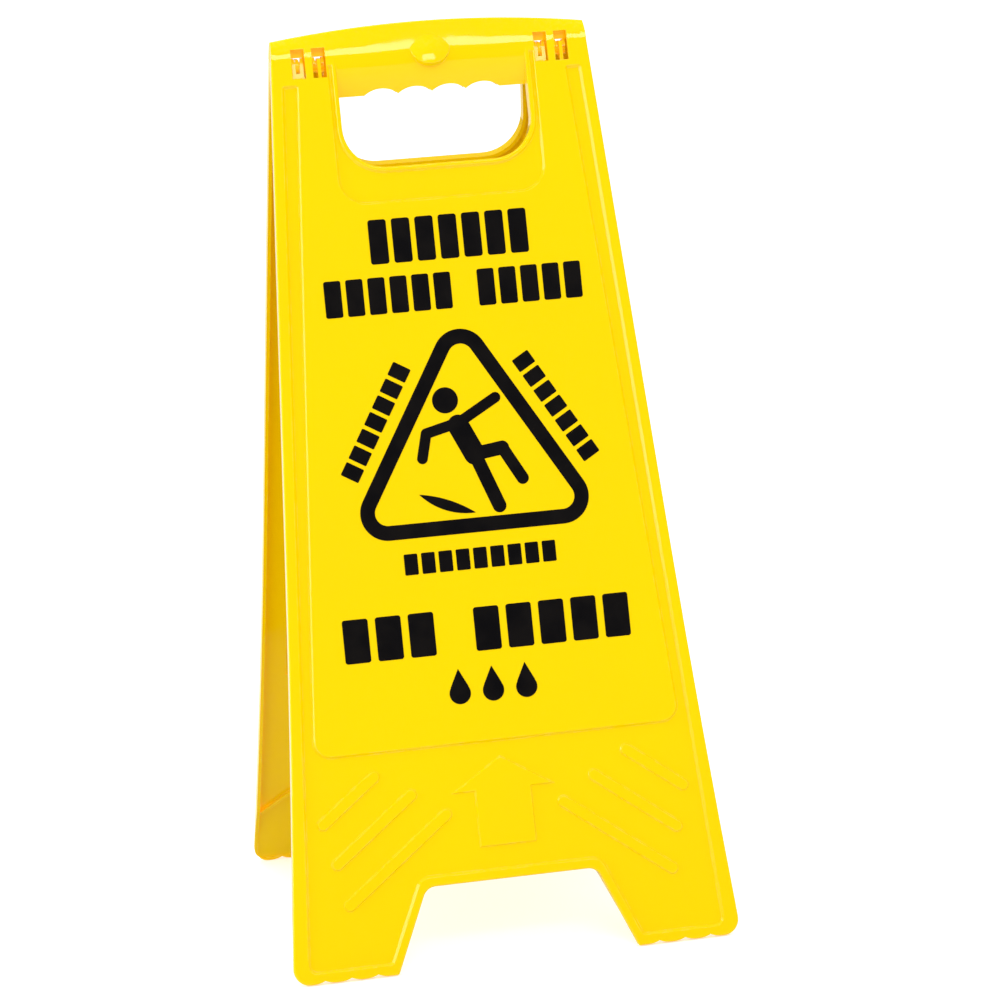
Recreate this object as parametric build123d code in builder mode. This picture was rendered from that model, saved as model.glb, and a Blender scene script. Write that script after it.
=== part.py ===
"""Folding A-frame wet floor sign, in millimetres.

Two identical mouldings lean on each other and hinge under a shared carrying hood. The rear leaf is the front
leaf turned half a turn about the vertical, so every hinge detail mates with its own copy. The legend is a set of
thin ink films on the outer face of each leaf.

Sizes down a leaf are measured from the hinge axis. On the leaf plane, x runs across the sign, y runs up the leaf
and z points out of the printed face.
"""

import os
from math import atan2, cos, degrees, hypot, radians, sin, sqrt, tan

from build123d import *

# Overall
lean = 12.4  # degrees each leaf leans back when the hood faces meet
leaf_drop = 592.6  # hinge axis to the foot line
leaf_depth = 10.0  # outer face to the seam the two leaves share
top_half_width = 104.5  # across the leaf at the hinge axis
knee_drop = 330.0  # where the straight edges begin to flare
knee_half_width = 126.9
foot_half_width = 148.3
seam_gap = 0.1  # each leaf stops this far short of the seam
wall = 2.4  # flanges, hood and grip
skin = 2.4  # printed panel

# Hood and grip
crown_mid = 29.3  # ridge above the hinge axis, at the middle
crown_end = 17.6  # ridge above the hinge axis, at the ends
crest = 4.0  # up the leaf, where the flat face turns into the hood
shoulder_mid = 4.0  # from the crest to the bend of the hood's curve, at the middle
shoulder_end = 8.4  # the same at the ends
ridge_wall = 1.6  # wall at the ridge, in walls
grip_drop = 21.6  # bottom of the grip below the hinge axis
grip_toe = 6.8  # bottom of the grip in front of the seam
finger_pitch = 22.4
finger_depth = 4.0
finger_count = 4
boss_radius = 13.2
boss_dome = 34.0  # radius of its domed top
boss_rise = 2.3
boss_tilt = 33.0
boss_round = 0.5
boss_root = 4.5  # how far it reaches back into the hood wall
boss_height = 8.2  # above the hinge axis
edge_round = 1.3

# Hand hole
hole_half_width = 62.3
hole_drop = 70.6
hole_corner = 27.0
lip_width = 2.6
surround_half_width = 68.4
surround_drop = 94.2
surround_corner = 18.0
surround_depth = 1.4

# Face relief
relief_depth = 1.6
rim_top = 6.7  # raised rim at the hinge axis
rim_foot = 9.9  # raised rim at the foot
channel_top = 10.9  # sunk channel beside the panel at the hinge axis
channel_start = 13.6  # top of the channels below the hinge axis
panel_drop = 447.8  # bottom of the raised panel
panel_half_width = 120.0  # at its bottom
panel_corner = 10.0
foot_rim = 6.6
notch_rim = 5.8
step_taper = 45.0
surround_taper = 45.0
channel_corner = 2.0
notch_corner = 9.0

# Leg notch and feet
notch_drop = 538.6
notch_half_width = 56.2  # at its top
foot_inner = 79.4  # half the gap between the feet
foot_corner = 10.5
toe_depth = 4.6  # the flange shrinks to this above the floor
toe_start = 548.0
toe_end = 570.0
lobe_pitch = 17.2
lobe_first = 20.8  # outer lobe, which takes the rounded corner
lobe_depth = 2.0
gusset_thickness = 2.0
gusset_height = 5.0
gusset_length = 80.0
gusset_angle = 32.5
gusset_foot_x = 141.3  # its lower end, buried in the outer flange
gusset_foot_drop = 552.0

# Raised figures in the lower field
bar_width = 8.4
bar_rise = 1.0
bar_taper = 40.0
bar_angle = 37.3
bars = [((80.3, 461.5), 53.0), ((57.2, 475.6), 73.5), ((35.6, 490.6), 93.5)]  # inner end and length
arrow_top = 458.6
arrow_shoulder = 480.8
arrow_half_width = 35.0
arrow_stem = 19.0
arrow_bottom = 517.2

# Hinge
knuckle_x = 80.0  # centre of each hinge, either side of the middle
pin_radius = 3.0
hinge_fit = 0.08  # radial clearance of a hook on its pin
hook_radius = 5.4
hook_mouth = 4.9  # the pin snaps through this gap
prong = 2.4  # each hook is a fork of two prongs this thick
prong_near = 3.2  # knuckle centre to the nearer prong
cheek = 2.2  # plate that carries each pin, between the other leaf's prongs
cheek_gap = 0.2  # either side of a cheek
cheek_rim = 1.6  # round the pin
cheek_foot = 12.0  # a cheek leaves the skin this far below the axis
root_sink = 0.4  # hinge pieces reach this far into the skin
fork_root = 5.6  # the prongs join this far below the axis
arm_foot = 14.5  # a fork leaves the skin this far below the axis
arm_neck = 10.2  # top of that root
arm_bend = 6.2  # out from the axis, where the arm turns upwards
arm_bend_drop = 8.6
arm_back = 3.2  # inner edge of the arm, level with the axis
arm_back_foot = 5.2
fork_splay = 4.8  # width of the notch between them at its top
screen = 1.6  # plate that closes the hood behind the windows
screen_gap = 0.2  # clear of the hooks below it
screen_inset = 0.9  # how deep in the hood its edge lies, in walls
window_inner = 2.4  # windows either side of the rib over the cheeks
window_outer = 11.2
window_up = 9.8
window_down = 9.7
window_depth = 8.5

# Ink, each place measured down the leaf from the hinge axis to the middle of the piece
film = 0.2
block_fill = 0.78  # share of the pitch that a block covers
opening_drop = 119.1
opening_height = 29.0
opening_pitch = 15.4
headline_drop = 154.1
headline_height = 24.0
headline_pitch = 14.4
side_x = 59.5
side_drop = 235.6
side_height = 12.6
side_pitch = 12.0
side_angle = 59.4
lower_drop = 329.6
lower_height = 13.7
lower_pitch = 11.4
floor_drop = 375.6
floor_height = 28.5
floor_pitch = 21.5
drops_drop = 416.0
drop_radius = 7.0
drop_pitch = 22.0
triangle_apex = 179.9
triangle_base = 312.9
triangle_half_width = 75.5
triangle_corner = 18.0
triangle_band = 9.6
head_radius = 8.5

drop_sin = sin(radians(lean))
drop_cos = cos(radians(lean))
axis_height = leaf_drop * drop_cos - (leaf_depth - toe_depth) * drop_sin
edge_slope = (knee_half_width - top_half_width) / knee_drop
up_leaf = Vector(0, drop_sin, drop_cos)
outward = Vector(0, -drop_cos, drop_sin)
hinge_point = Vector(0, 0, axis_height)
face = Plane(origin=hinge_point + outward * leaf_depth, x_dir=(1, 0, 0), z_dir=outward)
seam = face.offset(seam_gap - leaf_depth)


def half_width(up):
    """Half the leaf's width on its straight upper edge, for a height up the leaf."""
    return top_half_width - edge_slope * up


def rim_edge(drop):
    """Half width of the line where the raised rim ends."""
    start = top_half_width - rim_top
    return start + (foot_half_width - rim_foot - start) * drop / leaf_drop


def panel_edge(drop):
    """Half width of the raised panel."""
    start = top_half_width - rim_top - channel_top
    return start + (panel_half_width - start) * drop / panel_drop


def notch_edge(drop):
    """Half width of the gap between the legs."""
    return notch_half_width + (foot_inner - notch_half_width) * (drop - notch_drop) / (leaf_drop - notch_drop)


def round_corner(sketch, point, radius):
    """Rounds the corner of the open sketch nearest to a point."""
    corner = sketch.vertices().sort_by_distance((*point, 0))[0]
    fillet(corner, radius=radius)


def leaf_outline(top):
    """Outer outline of a leaf with its leg notch, as a flat sketch."""
    knee = (knee_half_width, -knee_drop)
    with BuildSketch() as outline:
        with BuildLine():
            Polyline((0, top), (half_width(top), top), knee)
            TangentArc(knee, (foot_half_width, -leaf_drop), tangent=(edge_slope, -1))
            Polyline(
                (foot_half_width, -leaf_drop),
                (foot_inner, -leaf_drop),
                (notch_half_width, -notch_drop),
                (0, -notch_drop),
                (0, top),
            )
        make_face()
        mirror(about=Plane.YZ)
    return outline.sketch


def hole_outline(grow, top):
    """Hand hole outline, grown all round, as a flat sketch."""
    tall = top + hole_drop + grow
    with BuildSketch() as hole:
        with Locations((0, top - tall / 2)):
            Rectangle(2 * (hole_half_width + grow), tall)
        for side in (-1, 1):
            round_corner(hole, (side * hole_half_width, -hole_drop), hole_corner + grow)
    return hole.sketch


def hood_blank(inset, y_close, low):
    """Hood from end to end, lofted through sections whose ridge follows the crown.

    inset shrinks it by a wall for the inner hollow, y_close is where it ends at the seam, low is how far up the
    leaf its bottom lies.
    """
    reach = half_width(0) + 4
    crown_drop = crown_mid - crown_end
    crown_radius = (half_width(0) ** 2 + crown_drop**2) / (2 * crown_drop)
    foot_point = hinge_point + outward * (leaf_depth - inset) + up_leaf * crest
    flat_end = foot_point - up_leaf * (crest - low)
    inward = (y_close - flat_end.Y) / drop_cos
    with BuildPart() as blank:
        for x in (-reach, -0.62 * reach, 0, 0.62 * reach, reach):
            sag = crown_radius - sqrt(crown_radius**2 - x**2)
            ridge = axis_height + crown_mid - sag - ridge_wall * inset
            bend = foot_point + up_leaf * (shoulder_mid + (shoulder_end - shoulder_mid) * sag / crown_drop)
            with BuildSketch(Plane(origin=(x, 0, 0), x_dir=(0, 1, 0), z_dir=(1, 0, 0))):
                with BuildLine():
                    Line((y_close, ridge), (y_close, flat_end.Z - inward * drop_sin))
                    Line((y_close, flat_end.Z - inward * drop_sin), (flat_end.Y, flat_end.Z))
                    if low < crest:
                        Line((flat_end.Y, flat_end.Z), (foot_point.Y, foot_point.Z))
                    Bezier((foot_point.Y, foot_point.Z), (bend.Y, bend.Z), (y_close, ridge))
                make_face()
        loft()
        for side in (-1, 1):
            end = Plane(
                origin=face.from_local_coords((side * (top_half_width - inset), 0, 0)),
                z_dir=Vector(side, 0, 0) + up_leaf * edge_slope,
            )
            split(bisect_by=end, keep=Keep.BOTTOM)
    return blank.part


def grip_blank(inset, y_close, half_length):
    """Grip below the hood between the arms: a front that curls under, closed along the seam."""
    start = hinge_point + outward * (leaf_depth - inset) + up_leaf * crest
    bottom = axis_height - grip_drop + inset
    toe = -grip_toe + inset
    seam_foot = -(axis_height - bottom) * tan(radians(lean)) + y_close / drop_cos
    with BuildPart() as blank:
        with BuildSketch(Plane(origin=(-half_length, 0, 0), x_dir=(0, 1, 0), z_dir=(1, 0, 0))) as section:
            with BuildLine():
                TangentArc((start.Y, start.Z), (toe, bottom), tangent=(-drop_sin, -drop_cos))
                Polyline(
                    (toe, bottom),
                    (seam_foot, bottom),
                    (y_close, axis_height),
                    (y_close, start.Z),
                    (start.Y, start.Z),
                )
            make_face()
        extrude(amount=2 * half_length)
        finger_radius = ((finger_pitch / 2) ** 2 + finger_depth**2) / (2 * finger_depth)
        centre = axis_height - grip_drop + finger_depth - finger_radius
        row = Plane(origin=(0, 0, centre), x_dir=(1, 0, 0), z_dir=(0, -1, 0))
        with BuildSketch(row):
            with GridLocations(finger_pitch, 1, finger_count, 1):
                Circle(finger_radius + inset)
        extrude(amount=2 * leaf_depth, mode=Mode.SUBTRACT)
    return blank.part


def hinge_plane(x):
    """Plane across the sign at x: local x points out of the printed face, local y up the leaf."""
    return Plane(origin=(x, 0, axis_height), x_dir=outward, z_dir=(-1, 0, 0))


def rounded_hood():
    """Outer hood with its ridge and its two ends rounded."""
    with BuildPart() as hood:
        add(hood_blank(0, -seam_gap, crest))
        roof = hood.faces().sort_by(Axis.Z)[-1]
        fillet(roof.edges().sort_by(Axis.Z)[1:], radius=edge_round)
    return hood.part


def make_boss():
    """Domed thumb boss that stands on the middle of the hood."""
    tilt = radians(boss_tilt)
    axis = Vector(0, -cos(tilt), sin(tilt))
    seat = Vector(0, -hood_front(boss_height), axis_height + boss_height)
    with BuildPart() as dome:
        with Locations(seat + axis * (boss_rise - boss_dome)):
            Sphere(boss_dome)
    with BuildPart() as boss:
        with BuildSketch(Plane(origin=seat - axis * boss_root, x_dir=(1, 0, 0), z_dir=axis)):
            Circle(boss_radius)
        extrude(amount=boss_root + 2 * boss_rise)
        add(dome.part, mode=Mode.INTERSECT)
        fillet(boss.edges().sort_by(Axis(seat, axis))[-1], radius=boss_round)
    return boss.part


def hood_front(height):
    """How far the hood stands in front of the seam at its middle, at a height above the hinge axis."""
    start = outward * leaf_depth + up_leaf * crest
    bend = start + up_leaf * shoulder_mid
    rise = bend.Z - start.Z
    turn = crown_mid - bend.Z - rise
    along = (sqrt(rise**2 + turn * (height - start.Z)) - rise) / turn
    return -((1 - along) ** 2) * start.Y - 2 * along * (1 - along) * bend.Y


def make_hollow():
    """Space inside a leaf between its flanges, deeper behind the raised panel and the hinge windows."""
    deep = panel_drop - 4
    field = surround_drop + 2.5
    with BuildPart() as hollow:
        with BuildSketch(seam) as floor:
            add(leaf_outline(crest + wall))
            add(hole_outline(0, crest + wall + 1), mode=Mode.SUBTRACT)
            offset(amount=-wall, kind=Kind.INTERSECTION)
        extrude(amount=leaf_depth - seam_gap - skin - relief_depth + 0.4)
        with BuildSketch(face.offset(-skin)):
            with BuildLine():
                Polyline(
                    (hole_half_width + wall, crest),
                    (half_width(crest) - wall, crest),
                    (half_width(-12) - wall, -12),
                    (panel_edge(12) - 1.5, -12),
                    (panel_edge(deep) - 2.5, -deep),
                    (0, -deep),
                    (0, -field),
                    (surround_half_width + 2, -field),
                    (surround_half_width + 2, -18),
                    (hole_half_width + wall, -18),
                    close=True,
                )
            make_face()
            mirror(about=Plane.YZ)
        extrude(amount=-relief_depth - 1)
    return hollow.part


def make_shell():
    """Leaf without its relief and hinge: skin, hood and grip, hollowed from the seam side."""
    with BuildPart() as shell:
        with BuildSketch(seam) as plate:
            add(leaf_outline(crest))
            add(hole_outline(0, crest + 1), mode=Mode.SUBTRACT)
            for side in (-1, 1):
                round_corner(plate, (side * foot_half_width, -leaf_drop), foot_corner)
                round_corner(plate, (side * foot_inner, -leaf_drop), 2.0)
                round_corner(plate, (side * notch_half_width, -notch_drop), notch_corner)
        extrude(amount=leaf_depth - seam_gap)
        front = [e for e in shell.edges() if abs(face.to_local_coords(e.center()).Z) < 0.01]
        fillet([e for e in front if face.to_local_coords(e.center()).Y < crest - 0.1], radius=edge_round)
        add(rounded_hood())
        add(grip_blank(0, -seam_gap, hole_half_width + 1))
        add(make_boss())
        # Above the hinge the leaf stays behind the upright plane where the two hood halves meet.
        with Locations((0, leaf_depth / 2 - seam_gap, axis_height + leaf_depth)):
            Box(3 * top_half_width, leaf_depth, 2 * leaf_depth, mode=Mode.SUBTRACT)
        add(make_hollow(), mode=Mode.SUBTRACT)
        add(hood_blank(wall, 1.0, 1.0), mode=Mode.SUBTRACT)
        add(grip_blank(wall, 1.0, hole_half_width), mode=Mode.SUBTRACT)
    return shell.part


def sunk_channels():
    """Sunk field of the face: a channel beside the panel each side, joined below it round the leg notch."""
    foot = leaf_drop - foot_rim
    notch = notch_drop - notch_rim
    notch_side = notch_edge(notch_drop) + notch_rim / 2
    with BuildSketch() as field:
        with BuildLine():
            Polyline(
                (0, -notch),
                (notch_side, -notch),
                (notch_edge(foot) + notch_rim, -foot),
                (rim_edge(foot), -foot),
                (rim_edge(channel_start), -channel_start),
                (panel_edge(channel_start), -channel_start),
                (panel_half_width, -panel_drop),
                (0, -panel_drop),
                (0, -notch),
            )
        make_face()
        mirror(about=Plane.YZ)
        for side in (-1, 1):
            round_corner(field, (side * panel_half_width, -panel_drop), panel_corner)
            round_corner(field, (side * rim_edge(foot), -foot), 6.0)
            round_corner(field, (side * (notch_edge(foot) + notch_rim), -foot), 3.0)
            round_corner(field, (side * notch_side, -notch), notch_corner)
            round_corner(field, (side * rim_edge(channel_start), -channel_start), channel_corner)
            round_corner(field, (side * panel_edge(channel_start), -channel_start), channel_corner)
    return field.sketch


def sunk_surround():
    """Sunk band round the hand hole, outside its raised lip."""
    tall = surround_drop - 2
    with BuildSketch() as band:
        with Locations((0, -2 - tall / 2)):
            Rectangle(2 * surround_half_width, tall)
        for side in (-1, 1):
            round_corner(band, (side * surround_half_width, -surround_drop), surround_corner)
        add(hole_outline(lip_width, crest), mode=Mode.SUBTRACT)
    return band.sketch


def make_lobe_cuts():
    """Notches between the rounded lobes along the bottom of both feet."""
    lobe_radius = ((lobe_pitch / 2) ** 2 + lobe_depth**2) / (2 * lobe_depth)
    half = lobe_pitch / 2
    with BuildPart() as cuts:
        with BuildSketch(seam.offset(-1)):
            for side in (-1, 1):
                for number in range(3):
                    x = side * (foot_half_width - lobe_first - number * lobe_pitch)
                    with BuildLine():
                        TangentArc((x - half, -leaf_drop), (x, lobe_depth - leaf_drop), tangent=(1, 0))
                        TangentArc((x + half, -leaf_drop), (x, lobe_depth - leaf_drop), tangent=(-1, 0))
                        Polyline(
                            (x - half, -leaf_drop),
                            (x - half, -leaf_drop - 1),
                            (x + half, -leaf_drop - 1),
                            (x + half, -leaf_drop),
                        )
                    make_face()
        extrude(amount=leaf_depth + 2)
    return cuts.part


def make_sunk_relief():
    """Everything sunk into the printed face, as one cutting tool."""
    with BuildPart() as tool:
        with BuildSketch(face):
            add(sunk_channels())
        extrude(amount=-relief_depth, taper=step_taper)
        with BuildSketch(face):
            add(sunk_surround())
        extrude(amount=-surround_depth, taper=surround_taper)
    return tool.part


def make_raised_relief():
    """Arrow and bars that stand in the lower field."""
    with BuildPart() as figures:
        with BuildSketch(face.offset(-relief_depth - 0.2)):
            with BuildLine():
                Polyline(
                    (0, -arrow_top),
                    (-arrow_half_width, -arrow_shoulder),
                    (-arrow_stem, -arrow_shoulder),
                    (-arrow_stem, -arrow_bottom),
                    (arrow_stem, -arrow_bottom),
                    (arrow_stem, -arrow_shoulder),
                    (arrow_half_width, -arrow_shoulder),
                    close=True,
                )
            make_face()
            for side in (-1, 1):
                for (x, drop), length in bars:
                    run = length / 2 * cos(radians(bar_angle))
                    fall = length / 2 * sin(radians(bar_angle))
                    with Locations((side * (x + run), -drop - fall)):
                        SlotOverall(length, bar_width, rotation=-side * bar_angle)
        extrude(amount=bar_rise + 0.2, taper=bar_taper)
    return figures.part


def make_gussets():
    """Diagonal rib inside each leg, from the outer flange up towards the middle."""
    run = gusset_length / 2 * cos(radians(gusset_angle))
    fall = gusset_length / 2 * sin(radians(gusset_angle))
    with BuildPart() as ribs:
        with BuildSketch(face.offset(-skin)):
            for side in (-1, 1):
                with Locations((side * (gusset_foot_x - run), fall - gusset_foot_drop)):
                    Rectangle(gusset_length, gusset_thickness, rotation=-side * gusset_angle)
        extrude(amount=-gusset_height)
    return ribs.part


def make_toe_cut():
    """Tool that thins the flanges of the legs from the seam side down to the shallow toes."""
    shallow = leaf_depth - toe_depth
    below = -leaf_drop - 5
    with BuildPart() as tool:
        with BuildSketch(hinge_plane(foot_half_width + 5)):
            with BuildLine():
                Polyline((0, -toe_start), (shallow, -toe_end), (shallow, below), (-2, below), (-2, -toe_start), close=True)
            make_face()
        extrude(amount=2 * (foot_half_width + 5))
    return tool.part


def make_windows(knuckle):
    """Tool for the two openings in front of one end of the hinge."""
    with BuildPart() as tool:
        with BuildSketch(face.offset(2)):
            for side in (-1, 1):
                width = window_outer - window_inner
                middle = knuckle + side * (window_inner + width / 2)
                with Locations((middle, (window_up - window_down) / 2)):
                    Rectangle(width, window_up + window_down)
        extrude(amount=-2 - window_depth)
    return tool.part


def slot_middle():
    """How far the middle of each fork, and of each cheek, lies from the knuckle's centre."""
    return prong_near + prong + cheek_gap + cheek / 2


def make_cheek(knuckle):
    """Cheek that carries one moulded pin, at one end of the hinge."""
    tip = pin_radius + cheek_rim
    root = leaf_depth - skin + root_sink
    pin_start = prong_near - cheek_gap
    pin_end = 2 * slot_middle() - pin_start
    with BuildPart() as cheek_part:
        with BuildSketch(hinge_plane(knuckle + slot_middle() + cheek / 2)):
            Circle(tip)
            with BuildLine():
                Polyline((root, pin_radius), (root, -cheek_foot), (0, -tip), (0, tip), close=True)
            make_face()
        extrude(amount=cheek)
        with BuildSketch(hinge_plane(knuckle + pin_end)):
            Circle(pin_radius)
        extrude(amount=pin_end - pin_start)
    return cheek_part.part


def make_hook(knuckle):
    """Fork of two open hooks that snap over the other leaf's pin, at one end of the hinge."""
    root = leaf_depth - skin + root_sink
    width = 2 * (slot_middle() - prong_near)
    with BuildPart() as hook:
        with BuildSketch(hinge_plane(knuckle - prong_near)):
            Circle(hook_radius)
            with BuildLine():
                Polyline(
                    (root, -arm_foot),
                    (root, -arm_neck),
                    (arm_bend, -arm_bend_drop),
                    (hook_radius, 0),
                    (arm_back, 0),
                    (arm_back_foot, -arm_foot),
                    close=True,
                )
            make_face()
            Circle(pin_radius + hinge_fit, mode=Mode.SUBTRACT)
            with Locations((-hook_radius, 0)):
                Rectangle(2 * hook_radius, hook_mouth, mode=Mode.SUBTRACT)
        extrude(amount=width)
        with BuildSketch(face.offset(2)):
            with BuildLine():
                middle = knuckle - slot_middle()
                slot = cheek / 2 + cheek_gap
                Polyline(
                    (middle - slot, -fork_root),
                    (middle - slot, 0),
                    (middle - fork_splay / 2, hook_radius + 1),
                    (middle + fork_splay / 2, hook_radius + 1),
                    (middle + slot, 0),
                    (middle + slot, -fork_root),
                    close=True,
                )
            make_face()
        extrude(amount=-3 * leaf_depth, mode=Mode.SUBTRACT)
    return hook.part


def make_screen(knuckle):
    """Plate that closes the hood behind the top of both windows, at one end of the hinge."""
    bottom = axis_height + hook_radius + screen_gap
    height = 2 * crown_mid
    with BuildPart() as plate:
        add(hood_blank(screen_inset * wall, -seam_gap, crest))
        with Locations((knuckle, -seam_gap - screen / 2, bottom + height / 2)):
            Box(2 * window_outer + wall, screen, height, mode=Mode.INTERSECT)
    return plate.part


def make_leaf():
    """One complete moulding, standing as the front leaf."""
    with BuildPart() as leaf:
        add(make_shell())
        add(make_sunk_relief(), mode=Mode.SUBTRACT)
        add(make_raised_relief())
        add(make_gussets())
        add(make_lobe_cuts(), mode=Mode.SUBTRACT)
        add(make_toe_cut(), mode=Mode.SUBTRACT)
        for knuckle in (-knuckle_x, knuckle_x):
            add(make_windows(knuckle), mode=Mode.SUBTRACT)
            add(make_cheek(knuckle))
            add(make_hook(knuckle))
            add(make_screen(knuckle))
    return leaf.part


def print_film(sketch):
    """Ink film on the printed face, in the shape of a flat sketch."""
    with BuildPart() as ink:
        with BuildSketch(face):
            add(sketch)
        extrude(amount=film)
    return ink.part


def block_row(count, pitch, height, shift=0.0):
    """Row of plain blocks that stands for one word."""
    with BuildSketch() as row:
        with Locations((shift, 0)):
            with GridLocations(pitch, 1, count, 1):
                RectangleRounded(pitch * block_fill, height, height / 16)
    return row.sketch


def placed(sketch, x, drop, turn=0.0):
    """Moves a flat sketch to a place down the leaf."""
    return sketch.moved(Location((x, -drop, 0), (0, 0, turn)))


def limb(start, end, width):
    """Round-ended limb of the figure between two points given as across and down the leaf."""
    (x0, d0), (x1, d1) = start, end
    angle = degrees(atan2(d0 - d1, x1 - x0))
    slot = SlotCenterToCenter(hypot(x1 - x0, d1 - d0), width, mode=Mode.PRIVATE)
    return placed(slot, (x0 + x1) / 2, (d0 + d1) / 2, angle)


def triangle_border():
    """Rounded warning triangle drawn as a band."""
    with BuildSketch() as border:
        with BuildLine():
            Polyline(
                (0, -triangle_apex - triangle_corner),
                (triangle_half_width - triangle_corner, triangle_corner - triangle_base),
                (triangle_corner - triangle_half_width, triangle_corner - triangle_base),
                close=True,
            )
        make_face()
        core = border.face()
        offset(core, amount=triangle_corner, kind=Kind.ARC, mode=Mode.REPLACE)
        offset(core, amount=triangle_corner - triangle_band, kind=Kind.ARC, mode=Mode.SUBTRACT)
    return border.sketch


def slipping_figure():
    """Plain round-limbed figure falling backwards."""
    shoulder = (-5.0, 240.5)
    hip = (3.0, 262.0)
    knee = (21.5, 259.5)
    elbow = (-27.5, 246.0)
    with BuildSketch() as figure:
        add(limb(shoulder, (20.0, 226.5), 7.0))
        add(limb(shoulder, elbow, 7.0))
        add(limb(elbow, (-31.5, 262.0), 7.0))
        add(limb((-6.0, 242.5), hip, 14.0))
        add(limb(hip, knee, 9.0))
        add(limb(knee, (33.0, 280.5), 8.0))
        add(limb(hip, (16.0, 297.0), 9.0))
        with Locations((-13.0, -225.5)):
            Circle(head_radius)
    return figure.sketch


def slip_mark():
    """Curved skid mark under the figure's heel."""
    tail = (-36.0, -285.0)
    tip = (0.0, -300.0)
    with BuildSketch() as mark:
        with BuildLine():
            ThreePointArc(tail, (-20.0, -296.5), tip)
            ThreePointArc(tip, (-19.0, -289.5), tail)
        make_face()
    return mark.sketch


def drop_row():
    """Three plain water drops in a row."""
    with BuildSketch() as drops:
        with GridLocations(drop_pitch, 1, 3, 1):
            Circle(drop_radius)
        with Locations(*[(place * drop_pitch, 1.15 * drop_radius) for place in (-1, 0, 1)]):
            Triangle(a=1.7 * drop_radius, b=1.9 * drop_radius, c=1.9 * drop_radius)
    return drops.sketch


def make_inks():
    """All the ink films of one leaf, by name."""
    headline = block_row(6, headline_pitch, headline_height, -3 * headline_pitch)
    headline += block_row(5, headline_pitch, headline_height, 3.5 * headline_pitch)
    floor_words = block_row(3, floor_pitch, floor_height, -3 * floor_pitch)
    floor_words += block_row(5, floor_pitch, floor_height, 2 * floor_pitch)
    side_word = block_row(7, side_pitch, side_height)
    return {
        "opening_blocks": print_film(placed(block_row(7, opening_pitch, opening_height), 0, opening_drop)),
        "headline_blocks": print_film(placed(headline, 0, headline_drop)),
        "left_side_blocks": print_film(placed(side_word, -side_x, side_drop, side_angle)),
        "right_side_blocks": print_film(placed(side_word, side_x, side_drop, -side_angle)),
        "lower_blocks": print_film(placed(block_row(9, lower_pitch, lower_height), 0, lower_drop)),
        "floor_blocks": print_film(placed(floor_words, 0, floor_drop)),
        "triangle_border": print_film(triangle_border()),
        "slipping_figure": print_film(slipping_figure()),
        "slip_mark": print_film(slip_mark()),
        "water_drops": print_film(placed(drop_row(), 0, drops_drop)),
    }


def main():
    """Builds both leaves and their inks and writes one STEP file each."""
    os.makedirs("parts", exist_ok=True)
    pieces = {"leaf": make_leaf(), **make_inks()}
    for name, piece in pieces.items():
        for end, turn in (("front", 0), ("rear", 180)):
            part = piece.rotate(Axis.Z, turn)
            part.label = f"{end}_{name}"
            export_step(part, f"parts/{part.label}.step")


if __name__ == "__main__":
    main()
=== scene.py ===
"""A folding wet floor sign in yellow moulded plastic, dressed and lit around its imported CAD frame."""

import logging
import math
from dataclasses import dataclass, field
from enum import Enum

import bpy
from mathutils import Matrix, Vector


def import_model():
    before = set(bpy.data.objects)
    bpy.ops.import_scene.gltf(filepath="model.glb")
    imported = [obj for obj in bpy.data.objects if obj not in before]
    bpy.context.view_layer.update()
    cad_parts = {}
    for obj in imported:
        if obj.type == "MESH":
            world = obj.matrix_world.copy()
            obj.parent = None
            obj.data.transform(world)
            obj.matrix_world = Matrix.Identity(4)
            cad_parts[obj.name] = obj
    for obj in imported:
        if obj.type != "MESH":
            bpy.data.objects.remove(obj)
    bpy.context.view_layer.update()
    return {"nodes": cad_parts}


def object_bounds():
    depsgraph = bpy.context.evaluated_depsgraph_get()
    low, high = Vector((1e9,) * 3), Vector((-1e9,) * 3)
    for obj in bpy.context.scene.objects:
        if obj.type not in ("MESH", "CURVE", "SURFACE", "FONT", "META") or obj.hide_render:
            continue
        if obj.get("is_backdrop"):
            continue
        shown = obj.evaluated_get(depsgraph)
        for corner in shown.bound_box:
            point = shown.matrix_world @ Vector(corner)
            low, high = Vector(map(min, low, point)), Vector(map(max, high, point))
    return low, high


log = logging.getLogger("wet_floor_sign")

MM = 0.001


class Side(Enum):
    """Which leaf of the sign a piece belongs to."""

    FRONT = "front"
    REAR = "rear"


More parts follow.
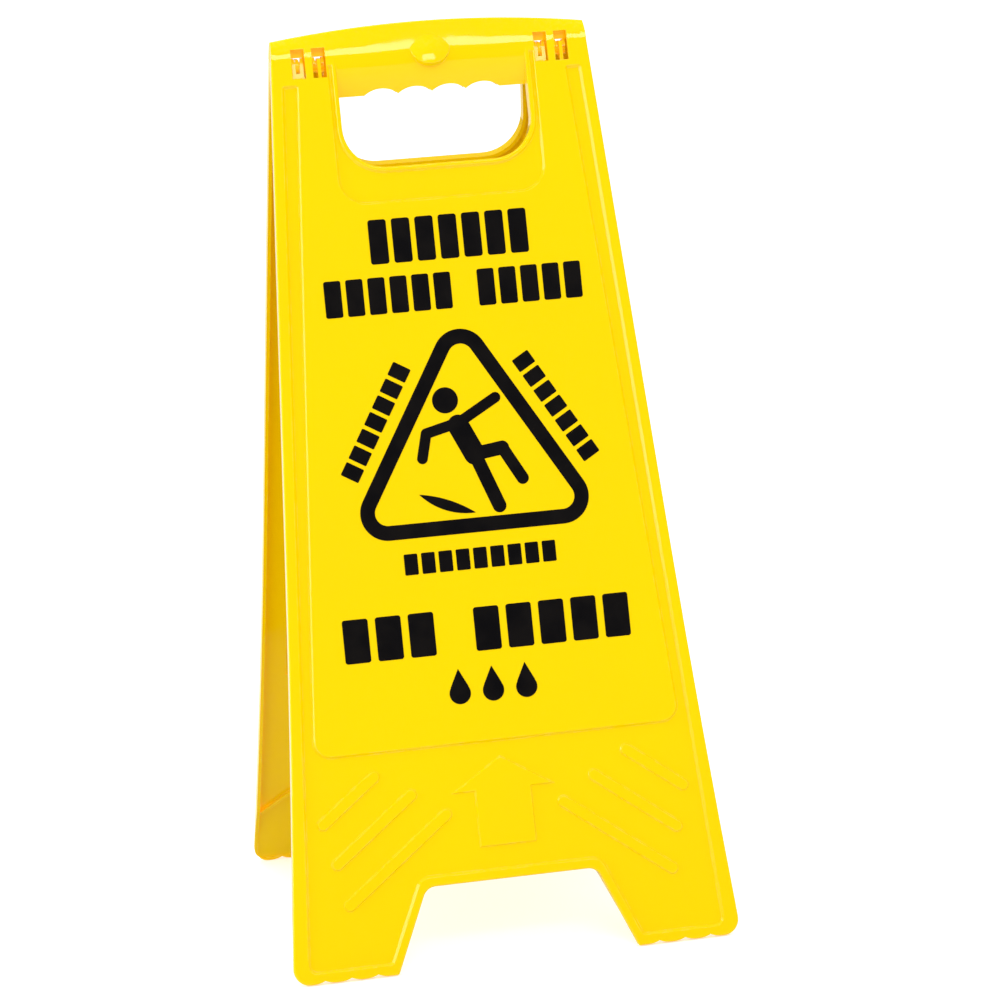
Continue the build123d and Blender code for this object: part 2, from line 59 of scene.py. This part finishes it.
class Wiring:
    """Adds and joins the nodes of one node tree."""

    COLUMN = 220

    def __init__(self, tree: bpy.types.NodeTree) -> None:
        """Start wiring a tree.

        Args:
            tree: The node tree of a material, a world or a group.
        """
        self.tree = tree
        self.count = 0

    def add(self, kind: str, **settings: object) -> bpy.types.Node:
        """Add one node and set its properties.

        Args:
            kind: Blender's type name of the node.
            settings: Properties of the node by name.

        Returns:
            The new node.
        """
        node = self.tree.nodes.new(kind)
        node.location = (self.COLUMN * self.count, 0)
        self.count += 1
        for name, value in settings.items():
            setattr(node, name, value)
        return node

    def feed(self, target: bpy.types.NodeSocket, source: object) -> None:
        """Give an input socket a link or a plain value.

        Args:
            target: The input socket.
            source: An output socket to link, or the value to set.
        """
        if isinstance(source, bpy.types.NodeSocket):
            self.tree.links.new(source, target)
        else:
            target.default_value = source

    def math(self, operation: str, first: object, second: object = 0.0) -> bpy.types.NodeSocket:
        """Work out one arithmetic step.

        Args:
            operation: Blender's name of the operation.
            first: Socket or number.
            second: Socket or number, unused by operations with one operand.

        Returns:
            The socket that holds the result.
        """
        node = self.add("ShaderNodeMath", operation=operation)
        self.feed(node.inputs[0], first)
        self.feed(node.inputs[1], second)
        return node.outputs[0]

    def ramp(self, value: object, low: float, high: float) -> bpy.types.NodeSocket:
        """Spread a value smoothly from 0 at low to 1 at high.

        Args:
            value: Socket or number.
            low: Value that becomes 0.
            high: Value that becomes 1.

        Returns:
            The socket that holds the spread value.
        """
        node = self.add("ShaderNodeMapRange", interpolation_type="SMOOTHSTEP")
        self.feed(node.inputs["Value"], value)
        self.feed(node.inputs["From Min"], low)
        self.feed(node.inputs["From Max"], high)
        return node.outputs["Result"]

    def noise(
        self, place: bpy.types.NodeSocket, scale: object, detail: float, rough: float
    ) -> bpy.types.NodeSocket:
        """Sample soft noise.

        Args:
            place: Where to sample it.
            scale: Socket or number of waves for each metre.
            detail: How many finer octaves are added.
            rough: How strong the finer octaves are.

        Returns:
            The socket that holds the noise, about 0.5 on average.
        """
        node = self.add("ShaderNodeTexNoise")
        self.feed(node.inputs["Vector"], place)
        self.feed(node.inputs["Scale"], scale)
        self.feed(node.inputs["Detail"], detail)
        self.feed(node.inputs["Roughness"], rough)
        return node.outputs["Fac"]

    def stretched(self, place: bpy.types.NodeSocket, turn: tuple, scale: tuple) -> bpy.types.NodeSocket:
        """Turn and stretch a place so that noise sampled there runs in streaks.

        Args:
            place: The socket to change.
            turn: Turn about each axis, in radians.
            scale: Stretch along each axis.

        Returns:
            The socket that holds the changed place.
        """
        node = self.add("ShaderNodeMapping")
        self.feed(node.inputs["Vector"], place)
        self.feed(node.inputs["Rotation"], turn)
        self.feed(node.inputs["Scale"], scale)
        return node.outputs["Vector"]

    def blend(self, factor: object, first: object, second: object) -> bpy.types.NodeSocket:
        """Mix two colours.

        Args:
            factor: Socket or number, 0 for the first colour and 1 for the second.
            first: Socket or colour.
            second: Socket or colour.

        Returns:
            The socket that holds the mixed colour.
        """
        node = self.add("ShaderNodeMix", data_type="RGBA")
        self.feed(node.inputs["Factor"], factor)
        self.feed(node.inputs[6], first)
        self.feed(node.inputs[7], second)
        return node.outputs[2]

    def group(self, tree: bpy.types.NodeTree, **values: object) -> bpy.types.Node:
        """Place a shared effect.

        Args:
            tree: The group's node tree.
            values: Its inputs, named with underscores for spaces.

        Returns:
            The group node.
        """
        node = self.add("ShaderNodeGroup")
        node.node_tree = tree
        for name, value in values.items():
            self.feed(node.inputs[name.replace("_", " ")], value)
        return node


@dataclass
class EffectGroup:
    """A shared effect, kept as one node group with named inputs and outputs."""

    name: str
    inputs: dict[str, float]
    outputs: tuple[str, ...]
    tree: bpy.types.NodeTree = field(init=False)
    wiring: Wiring = field(init=False)
    entry: bpy.types.Node = field(init=False)
    exit: bpy.types.Node = field(init=False)

    def __post_init__(self) -> None:
        """Make the empty group and its sockets."""
        self.tree = bpy.data.node_groups.new(self.name, "ShaderNodeTree")
        for name, value in self.inputs.items():
            socket = self.tree.interface.new_socket(name, in_out="INPUT", socket_type="NodeSocketFloat")
            socket.default_value = value
        for name in self.outputs:
            self.tree.interface.new_socket(name, in_out="OUTPUT", socket_type="NodeSocketFloat")
        self.wiring = Wiring(self.tree)
        self.entry = self.wiring.add("NodeGroupInput")
        self.exit = self.wiring.add("NodeGroupOutput")

    def value(self, name: str) -> bpy.types.NodeSocket:
        """Return the socket of a named input."""
        return self.entry.outputs[name]

    def put_out(self, name: str, source: bpy.types.NodeSocket) -> None:
        """Send a socket to a named output."""
        self.wiring.feed(self.exit.inputs[name], source)

    def place(self) -> bpy.types.NodeSocket:
        """Return the place on the piece in its own frame, in metres."""
        return self.wiring.add("ShaderNodeTexCoord").outputs["Object"]


class Effects:
    """The shared surface effects of the sign, built once."""

    def __init__(self) -> None:
        """Build every group."""
        self.mould_texture = self.build_mould_texture()
        self.edge_wear = self.build_edge_wear()
        self.scuffs = self.build_scuffs()
        self.dust = self.build_dust()
        self.tone = self.build_tone()
        self.recess = self.build_recess()

    def build_mould_texture(self) -> bpy.types.NodeTree:
        """Build the fine orange-peel skin and slow ripple of a moulding.

        Returns:
            The group's tree, with the output Height.
        """
        inputs = {"Grain Scale": 2600.0, "Ripple Scale": 60.0, "Ripple": 0.5}
        group = EffectGroup("mould_texture", inputs, ("Height",))
        wiring = group.wiring
        place = group.place()
        grain_height = 0.12
        grain = wiring.noise(place, group.value("Grain Scale"), detail=2.0, rough=0.45)
        ripple = wiring.noise(place, group.value("Ripple Scale"), detail=1.0, rough=0.4)
        slow = wiring.math("MULTIPLY", ripple, group.value("Ripple"))
        group.put_out("Height", wiring.math("ADD", wiring.math("MULTIPLY", grain, grain_height), slow))
        return group.tree

    def build_edge_wear(self) -> bpy.types.NodeTree:
        """Build the rubbed band along sharp edges, broken up by noise.

        Returns:
            The group's tree, with the output Wear.
        """
        group = EffectGroup("edge_wear", {"Width": 0.0012, "Amount": 0.5}, ("Wear",))
        wiring = group.wiring
        rounded = wiring.add("ShaderNodeBevel", samples=4)
        wiring.feed(rounded.inputs["Radius"], group.value("Width"))
        flat = wiring.add("ShaderNodeNewGeometry").outputs["Normal"]
        compare = wiring.add("ShaderNodeVectorMath", operation="DOT_PRODUCT")
        wiring.feed(compare.inputs[0], rounded.outputs["Normal"])
        wiring.feed(compare.inputs[1], flat)
        flatness = wiring.ramp(compare.outputs["Value"], low=0.90, high=0.995)
        band = wiring.math("SUBTRACT", 1.0, flatness)
        cloud = wiring.noise(group.place(), scale=140.0, detail=4.0, rough=0.6)
        patches = wiring.ramp(cloud, low=0.40, high=0.66)
        worn = wiring.math("MULTIPLY", band, patches)
        group.put_out("Wear", wiring.math("MULTIPLY", worn, group.value("Amount")))
        return group.tree

    def build_streaks(
        self, wiring: Wiring, place: bpy.types.NodeSocket, turn: tuple, scale: tuple
    ) -> bpy.types.NodeSocket:
        """Build fine lines that run one way.

        Args:
            wiring: The wiring of the group that takes them.
            place: Where to sample them.
            turn: Turn about each axis, in radians.
            scale: Lines for each metre along each axis.

        Returns:
            The socket that holds the lines.
        """
        streak = wiring.noise(wiring.stretched(place, turn, scale), scale=1.0, detail=2.0, rough=0.5)
        return wiring.ramp(streak, low=0.66, high=0.74)

    def build_scuffs(self) -> bpy.types.NodeTree:
        """Build fine handling scratches that run two ways.

        Returns:
            The group's tree, with the output Scuff.
        """
        group = EffectGroup("handling_scuffs", {"Amount": 0.5, "Density": 0.5}, ("Scuff",))
        wiring = group.wiring
        place = group.place()
        rising = self.build_streaks(wiring, place, turn=(0.0, 0.5, 0.0), scale=(900.0, 900.0, 14.0))
        falling = self.build_streaks(wiring, place, turn=(0.0, -0.9, 0.0), scale=(700.0, 700.0, 20.0))
        cloud = wiring.noise(place, scale=22.0, detail=3.0, rough=0.55)
        patches = wiring.ramp(cloud, low=0.46, high=0.62)
        sparse = wiring.math("MULTIPLY", patches, group.value("Density"))
        shown = wiring.math("MULTIPLY", wiring.math("MAXIMUM", rising, falling), sparse)
        group.put_out("Scuff", wiring.math("MULTIPLY", shown, group.value("Amount")))
        return group.tree

    def build_dust(self) -> bpy.types.NodeTree:
        """Build the thin dust that settles on faces turned upwards.

        Returns:
            The group's tree, with the output Dust.
        """
        group = EffectGroup("settled_dust", {"Amount": 0.3}, ("Dust",))
        wiring = group.wiring
        split = wiring.add("ShaderNodeSeparateXYZ")
        wiring.feed(split.inputs[0], wiring.add("ShaderNodeNewGeometry").outputs["Normal"])
        upward = wiring.ramp(split.outputs["Z"], low=0.1, high=0.95)
        cloud = wiring.noise(group.place(), scale=420.0, detail=5.0, rough=0.7)
        specks = wiring.ramp(cloud, low=0.42, high=0.75)
        settled = wiring.math("MULTIPLY", upward, specks)
        group.put_out("Dust", wiring.math("MULTIPLY", settled, group.value("Amount")))
        return group.tree

    def build_tone(self) -> bpy.types.NodeTree:
        """Build the slow drift in colour of a large moulding.

        Returns:
            The group's tree, with the output Drift.
        """
        group = EffectGroup("tone_drift", {"Scale": 7.0, "Amount": 1.0}, ("Drift",))
        wiring = group.wiring
        cloud = wiring.noise(group.place(), group.value("Scale"), detail=3.0, rough=0.5)
        spread = wiring.ramp(cloud, low=0.3, high=0.7)
        group.put_out("Drift", wiring.math("MULTIPLY", spread, group.value("Amount")))
        return group.tree

    def build_recess(self) -> bpy.types.NodeTree:
        """Build the mask of deep recesses, found by ambient occlusion, where the plastic gets a painted
        orange glow in place of light come through thin walls.

        Returns:
            The group's tree, with the output Recess.
        """
        group = EffectGroup("deep_recess", {"Reach": 0.012}, ("Recess",))
        wiring = group.wiring
        opening = wiring.add("ShaderNodeAmbientOcclusion", samples=6)
        wiring.feed(opening.inputs["Distance"], group.value("Reach"))
        openness = wiring.ramp(opening.outputs["AO"], low=0.20, high=0.70)
        group.put_out("Recess", wiring.math("SUBTRACT", 1.0, openness))
        return group.tree


@dataclass(frozen=True)
class YellowPlastic:
    """Satin polypropylene in safety yellow, with orange-peel skin, rubbed edges, light handling marks and a
    painted orange glow in deep recesses.
    """

    name: str = "yellow_plastic"
    colour: tuple = (0.90, 0.62, 0.0, 1.0)
    deep_colour: tuple = (0.885, 0.60, 0.0, 1.0)
    worn_colour: tuple = (0.95, 0.74, 0.16, 1.0)
    dust_colour: tuple = (0.80, 0.68, 0.36, 1.0)
    dark: tuple = (0.0, 0.0, 0.0, 1.0)
    # Painted glow: orange emission in deep recesses, painted in place of light that passes through the thin
    # plastic.
    painted_glow_colour: tuple = (0.95, 0.36, 0.01, 1.0)
    painted_glow_strength: float = 0.30
    recess_reach: float = 12.0 * MM
    gloss_roughness: float = 0.045
    rough_spread: float = 0.03
    specular: float = 0.30
    tone_scale: float = 7.0
    tone_amount: float = 0.8
    wear_width: float = 0.9 * MM
    wear_amount: float = 0.45
    wear_roughness: float = 0.2
    scuff_amount: float = 0.6
    scuff_density: float = 0.5
    scuff_roughness: float = 0.25
    scuff_depth: float = 0.4
    dust_amount: float = 0.10
    grain_scale: float = 2200.0
    ripple_scale: float = 55.0
    ripple: float = 0.5
    bump: float = 0.10
    bump_depth: float = 0.4 * MM

    def build(self, effects: Effects) -> bpy.types.Material:
        """Build the material.

        Args:
            effects: The shared effects.

        Returns:
            The finished material.
        """
        material = bpy.data.materials.new(self.name)
        material.use_nodes = True
        wiring = Wiring(material.node_tree)
        shader = material.node_tree.nodes["Principled BSDF"]
        drift = wiring.group(effects.tone, Scale=self.tone_scale, Amount=self.tone_amount).outputs["Drift"]
        wear = wiring.group(effects.edge_wear, Width=self.wear_width, Amount=self.wear_amount).outputs["Wear"]
        scuffs = wiring.group(effects.scuffs, Amount=self.scuff_amount, Density=self.scuff_density)
        scuff = scuffs.outputs["Scuff"]
        dust = wiring.group(effects.dust, Amount=self.dust_amount).outputs["Dust"]
        recess = wiring.group(effects.recess, Reach=self.recess_reach).outputs["Recess"]
        skin = wiring.group(
            effects.mould_texture,
            Grain_Scale=self.grain_scale,
            Ripple_Scale=self.ripple_scale,
            Ripple=self.ripple,
        ).outputs["Height"]
        colour = wiring.blend(drift, self.colour, self.deep_colour)
        colour = wiring.blend(wear, colour, self.worn_colour)
        colour = wiring.blend(dust, colour, self.dust_colour)
        wiring.feed(shader.inputs["Base Color"], colour)
        rough = wiring.math("MULTIPLY", drift, self.rough_spread)
        rough = wiring.math("ADD", rough, self.gloss_roughness)
        rough = wiring.math("ADD", rough, wiring.math("MULTIPLY", scuff, self.scuff_roughness))
        rough = wiring.math("ADD", rough, wiring.math("MULTIPLY", wear, self.wear_roughness))
        wiring.feed(shader.inputs["Roughness"], rough)
        bump = wiring.add("ShaderNodeBump")
        wiring.feed(bump.inputs["Strength"], self.bump)
        wiring.feed(bump.inputs["Distance"], self.bump_depth)
        scratch = wiring.math("MULTIPLY", scuff, self.scuff_depth)
        wiring.feed(bump.inputs["Height"], wiring.math("SUBTRACT", skin, scratch))
        wiring.feed(shader.inputs["Normal"], bump.outputs["Normal"])
        # Painted glow: orange emission where the recess mask is high, standing in for light through thin
        # walls.
        wiring.feed(shader.inputs["Emission Color"], wiring.blend(recess, self.dark, self.painted_glow_colour))
        shader.inputs["Emission Strength"].default_value = self.painted_glow_strength
        shader.inputs["Specular IOR Level"].default_value = self.specular
        return material


@dataclass(frozen=True)
class PrintedInk:
    """Near-black screen ink with a faint weave from its mesh and a few rubbed specks."""

    name: str = "black_ink"
    colour: tuple = (0.0028, 0.0024, 0.0030, 1.0)
    thin_colour: tuple = (0.0065, 0.0052, 0.0046, 1.0)
    roughness: float = 0.46
    rough_spread: float = 0.12
    specular: float = 0.05
    tone_scale: float = 60.0
    tone_amount: float = 0.8
    scuff_amount: float = 0.7
    scuff_density: float = 0.6
    scuff_roughness: float = 0.2
    weave_scale: float = 5200.0
    ripple_scale: float = 900.0
    ripple: float = 0.25
    bump: float = 0.12
    bump_depth: float = 0.1 * MM

    def build(self, effects: Effects) -> bpy.types.Material:
        """Build the material.

        Args:
            effects: The shared effects.

        Returns:
            The finished material.
        """
        material = bpy.data.materials.new(self.name)
        material.use_nodes = True
        wiring = Wiring(material.node_tree)
        shader = material.node_tree.nodes["Principled BSDF"]
        drift = wiring.group(effects.tone, Scale=self.tone_scale, Amount=self.tone_amount).outputs["Drift"]
        scuffs = wiring.group(effects.scuffs, Amount=self.scuff_amount, Density=self.scuff_density)
        skin = wiring.group(
            effects.mould_texture,
            Grain_Scale=self.weave_scale,
            Ripple_Scale=self.ripple_scale,
            Ripple=self.ripple,
        ).outputs["Height"]
        wiring.feed(shader.inputs["Base Color"], wiring.blend(drift, self.colour, self.thin_colour))
        rough = wiring.math("ADD", wiring.math("MULTIPLY", drift, self.rough_spread), self.roughness)
        rubbed = wiring.math("MULTIPLY", scuffs.outputs["Scuff"], self.scuff_roughness)
        wiring.feed(shader.inputs["Roughness"], wiring.math("ADD", rough, rubbed))
        bump = wiring.add("ShaderNodeBump")
        wiring.feed(bump.inputs["Strength"], self.bump)
        wiring.feed(bump.inputs["Distance"], self.bump_depth)
        wiring.feed(bump.inputs["Height"], skin)
        wiring.feed(shader.inputs["Normal"], bump.outputs["Normal"])
        shader.inputs["Specular IOR Level"].default_value = self.specular
        return material


@dataclass(frozen=True)
class StudioPaper:
    """Plain pale paper that the sign stands on, which throws less light back at the sign than it shows."""

    name: str = "studio_paper"
    colour: tuple = (0.87, 0.87, 0.87, 1.0)
    shade: tuple = (0.865, 0.865, 0.865, 1.0)
    bounce_colour: tuple = (0.74, 0.74, 0.75, 1.0)
    glow: float = 0.35
    glow_colour: tuple = (1.0, 1.0, 1.0, 1.0)
    tone_scale: float = 1.5
    roughness: float = 0.9
    specular: float = 0.1

    def build(self, effects: Effects) -> bpy.types.Material:
        """Build the material.

        Args:
            effects: The shared effects.

        Returns:
            The finished material.
        """
        material = bpy.data.materials.new(self.name)
        material.use_nodes = True
        wiring = Wiring(material.node_tree)
        shader = material.node_tree.nodes["Principled BSDF"]
        drift = wiring.group(effects.tone, Scale=self.tone_scale, Amount=1.0).outputs["Drift"]
        direct = wiring.add("ShaderNodeLightPath").outputs["Is Camera Ray"]
        shown = wiring.blend(drift, self.colour, self.shade)
        wiring.feed(shader.inputs["Base Color"], wiring.blend(direct, self.bounce_colour, shown))
        shader.inputs["Emission Color"].default_value = self.glow_colour
        wiring.feed(shader.inputs["Emission Strength"], wiring.math("MULTIPLY", direct, self.glow))
        shader.inputs["Roughness"].default_value = self.roughness
        shader.inputs["Specular IOR Level"].default_value = self.specular
        return material


def dress(piece: bpy.types.Object, material: bpy.types.Material) -> None:
    """Give a piece one material all over.

    Args:
        piece: The mesh object.
        material: Its new material.
    """
    piece.data.materials.clear()
    piece.data.materials.append(material)


@dataclass
class Leaf:
    """One moulded leaf with its half of the hood, grip, hinges and feet."""

    side: Side
    nodes: dict[str, bpy.types.Object]

    @property
    def node_name(self) -> str:
        """Name of the leaf's CAD node."""
        return f"{self.side.value}_leaf"

    def build(self, plastic: bpy.types.Material) -> bpy.types.Object:
        """Dress the moulding.

        Args:
            plastic: The yellow plastic.

        Returns:
            The leaf's object.
        """
        leaf = self.nodes[self.node_name]
        dress(leaf, plastic)
        log.info("%s dressed in %s", self.node_name, plastic.name)
        return leaf


@dataclass
class PrintedLegend:
    """The ink films on the outer face of one leaf."""

    side: Side
    nodes: dict[str, bpy.types.Object]
    films: tuple[str, ...] = (
        "opening_blocks",
        "headline_blocks",
        "left_side_blocks",
        "right_side_blocks",
        "triangle_border",
        "slipping_figure",
        "slip_mark",
        "lower_blocks",
        "floor_blocks",
        "water_drops",
    )

    def build(self, ink: bpy.types.Material) -> list[bpy.types.Object]:
        """Dress every film.

        Args:
            ink: The black ink.

        Returns:
            The films' objects.
        """
        made = []
        for film in self.films:
            piece = self.nodes[f"{self.side.value}_{film}"]
            dress(piece, ink)
            log.info("%s dressed in %s", piece.name, ink.name)
            made.append(piece)
        return made


@dataclass(frozen=True)
class Softbox:
    """A rectangular softbox that looks at the sign."""

    name: str
    azimuth: float
    elevation: float
    distance: float
    size: tuple
    power: float
    aim_height: float = 0.6

    def hang(self) -> bpy.types.Object:
        """Hang the softbox.

        Returns:
            The light's object.
        """
        light = bpy.data.lights.new(self.name, "AREA")
        light.shape = "RECTANGLE"
        light.size, light.size_y = self.size
        light.energy = self.power
        softbox = bpy.data.objects.new(self.name, light)
        bpy.context.scene.collection.objects.link(softbox)
        azimuth = math.radians(self.azimuth)
        elevation = math.radians(self.elevation)
        level = Vector((math.sin(azimuth), -math.cos(azimuth), 0.0))
        away = math.cos(elevation) * level + Vector((0.0, 0.0, math.sin(elevation)))
        _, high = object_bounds()
        softbox.location = Vector((0.0, 0.0, self.aim_height * high.z)) + away * self.distance
        softbox.rotation_mode = "QUATERNION"
        softbox.rotation_quaternion = away.to_track_quat("Z", "Y")
        log.info("%s hung", self.name)
        return softbox


@dataclass
class Studio:
    """Plain floor, a softbox in front, one at the left, one overhead and a sky that is brighter above."""

    effects: Effects
    floor_radius: float = 45.0
    floor_sides: int = 64
    sky_colour: tuple = (1.0, 1.0, 1.0, 1.0)
    softboxes: tuple[Softbox, ...] = (
        Softbox("front_softbox", 3.0, 33.0, 2.0, (0.90, 0.34), 7.6, 0.97),
        Softbox("side_softbox", -84.0, 8.0, 2.4, (0.8, 2.0), 22.0, 0.5),
        Softbox("top_softbox", 172.0, 68.0, 2.2, (1.6, 0.9), 9.0, 0.8),
    )
    horizon_strength: float = 1.0
    zenith_strength: float = 1.30
    glossy_share: float = 0.12

    def build(self) -> None:
        """Build the floor, the lights and the sky."""
        self.build_floor()
        for softbox in self.softboxes:
            softbox.hang()
        self.build_sky()

    def build_floor(self) -> bpy.types.Object:
        """Lay the floor.

        Returns:
            The floor's object.
        """
        angles = [math.tau * i / self.floor_sides for i in range(self.floor_sides)]
        mesh = bpy.data.meshes.new("studio_floor")
        rim = [(self.floor_radius * math.cos(a), self.floor_radius * math.sin(a), 0.0) for a in angles]
        mesh.from_pydata(rim, [], [tuple(range(len(rim)))])
        floor = bpy.data.objects.new("studio_floor", mesh)
        bpy.context.scene.collection.objects.link(floor)
        dress(floor, StudioPaper().build(self.effects))
        floor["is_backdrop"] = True
        log.info("floor laid")
        return floor

    def build_sky(self) -> None:
        """Set a white sky, brighter overhead than at the horizon, and dimmer in reflections."""
        world = bpy.data.worlds.new("studio_sky")
        world.use_nodes = True
        wiring = Wiring(world.node_tree)
        background = world.node_tree.nodes["Background"]
        background.inputs["Color"].default_value = self.sky_colour
        split = wiring.add("ShaderNodeSeparateXYZ")
        wiring.feed(split.inputs[0], wiring.add("ShaderNodeTexCoord").outputs["Generated"])
        rise = wiring.ramp(split.outputs["Z"], low=0.0, high=1.0)
        strength = wiring.math("MULTIPLY", rise, self.zenith_strength - self.horizon_strength)
        strength = wiring.math("ADD", strength, self.horizon_strength)
        glossy = wiring.add("ShaderNodeLightPath").outputs["Is Glossy Ray"]
        dimming = wiring.math("SUBTRACT", 1.0, wiring.math("MULTIPLY", glossy, 1.0 - self.glossy_share))
        wiring.feed(background.inputs["Strength"], wiring.math("MULTIPLY", strength, dimming))
        bpy.context.scene.world = world
        log.info("sky set")


@dataclass
class CameraStand:
    """The camera, placed round a point between the leaves and rolled slightly."""

    azimuth: float = 9.274
    dip: float = 11.671
    roll: float = 3.697
    distance: float = 2.0
    aim: tuple = (0.0194, -0.0556, 0.2895)
    sensor: float = 36.0
    lens: float = 109.48

    def build(self) -> bpy.types.Object:
        """Set up the camera.

        Returns:
            The camera's object.
        """
        data = bpy.data.cameras.new("studio_camera")
        data.sensor_width = self.sensor
        data.lens = self.lens
        camera = bpy.data.objects.new("studio_camera", data)
        bpy.context.scene.collection.objects.link(camera)
        azimuth = math.radians(self.azimuth)
        dip = math.radians(self.dip)
        level = Vector((math.sin(azimuth), math.cos(azimuth), 0.0))
        forward = math.cos(dip) * level - Vector((0.0, 0.0, math.sin(dip)))
        right = forward.cross(Vector((0.0, 0.0, 1.0))).normalized()
        upright = right.cross(forward)
        roll = math.radians(self.roll)
        up = math.cos(roll) * upright + math.sin(roll) * right
        across = forward.cross(up)
        place = Vector(self.aim) - forward * self.distance
        turn = Matrix((across, up, -forward)).transposed().to_4x4()
        camera.matrix_world = Matrix.Translation(place) @ turn
        bpy.context.scene.camera = camera
        log.info("camera set %.2f m from the sign", self.distance)
        return camera


def main() -> None:
    """Build every sub-assembly around the frame, in order."""
    logging.basicConfig(level=logging.INFO, format="%(name)s: %(message)s")
    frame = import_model()
    scene = bpy.context.scene
    scene.view_settings.view_transform = "Standard"
    effects = Effects()
    plastic = YellowPlastic().build(effects)
    ink = PrintedInk().build(effects)
    CameraStand().build()
    for side in Side:
        Leaf(side, frame["nodes"]).build(plastic)
        PrintedLegend(side, frame["nodes"]).build(ink)
    Studio(effects).build()


if __name__ == "__main__":
    main()
